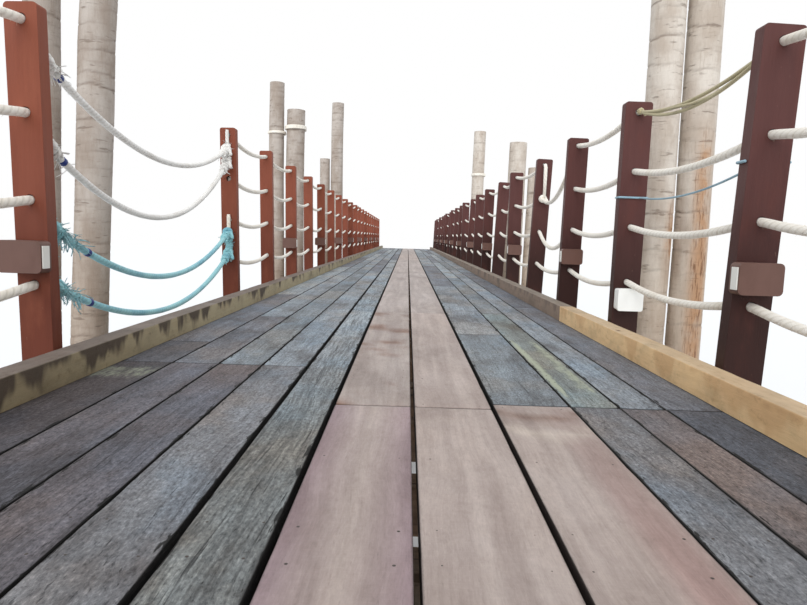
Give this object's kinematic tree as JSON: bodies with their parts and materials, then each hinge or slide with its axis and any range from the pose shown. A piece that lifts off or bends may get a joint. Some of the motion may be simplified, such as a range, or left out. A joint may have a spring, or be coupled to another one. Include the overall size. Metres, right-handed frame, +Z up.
{
  "type": "wooden jetty",
  "caption": "Timber jetty on palm-trunk piles, with a plank deck, kerbs and rope rails threaded through red-brown posts.",
  "frame": {"origin": "on the level of the pile feet, below the middle of the deck", "axes": "+Y along the jetty away from its near end, +X to the right of someone walking that way, +Z up"},
  "size_m": [3.777, 24.7, 4.3001],
  "materials": {
    "grey_plank": "weathered bare hardwood, silver grey",
    "new_plank": "sawn hardwood, newly laid, pinkish grey",
    "kerb_timber": "bare sawn timber",
    "frame_timber": "weathered sawn hardwood",
    "palm_trunk": "bare ringed palm trunk",
    "painted_post": "red-brown painted timber",
    "rail_rope": "laid fibre rope, off-white",
    "white_line": "laid fibre rope, white",
    "turquoise_line": "laid fibre rope, turquoise",
    "thin_strand": "loose rope strand, yellowish",
    "pale_blue_line": "thin braided line, pale blue",
    "light_housing": "brown moulded plastic",
    "light_lens": "white diffusing plastic",
    "box_cover": "white moulded plastic"
  },
  "bodies": {
    "root": {"deck_strake_1": "grey_plank", "deck_strake_2": "grey_plank", "deck_strake_3": "grey_plank", "deck_strake_4": "grey_plank", "deck_strake_5": "grey_plank", "deck_strake_6": "new_plank", "deck_strake_7": "new_plank", "deck_strake_8": "grey_plank", "deck_strake_9": "grey_plank", "deck_strake_10": "grey_plank", "deck_strake_11": "grey_plank", "left_kerb": "kerb_timber", "right_kerb": "kerb_timber", "deck_joists": "frame_timber", "rail_bearers": "frame_timber", "stringer_left_outer": "frame_timber", "stringer_left_inner": "frame_timber", "stringer_right_inner": "frame_timber", "stringer_right_outer": "frame_timber", "crossheads_near": "frame_timber", "crossheads_far": "frame_timber", "braces_near": "frame_timber", "braces_far": "frame_timber", "piles_bent_1": "palm_trunk", "piles_bent_2": "palm_trunk", "piles_bent_3": "palm_trunk", "piles_bent_4": "palm_trunk", "piles_bent_5": "palm_trunk", "piles_bent_6": "palm_trunk", "piles_bent_7": "palm_trunk", "left_posts": "painted_post", "right_posts": "painted_post", "left_rope_1": "rail_rope", "left_rope_2": "rail_rope", "left_rope_3": "rail_rope", "left_rope_4": "rail_rope", "right_rope_1": "rail_rope", "right_rope_2": "rail_rope", "right_rope_3": "rail_rope", "right_rope_4": "rail_rope", "white_lines": "white_line", "turquoise_lines": "turquoise_line", "top_strands": "thin_strand", "blue_line": "pale_blue_line", "pile_lashings": "rail_rope", "light_boxes": "light_housing", "light_lenses": "light_lens", "junction_box": "box_cover"}
  },
  "joints": []
}
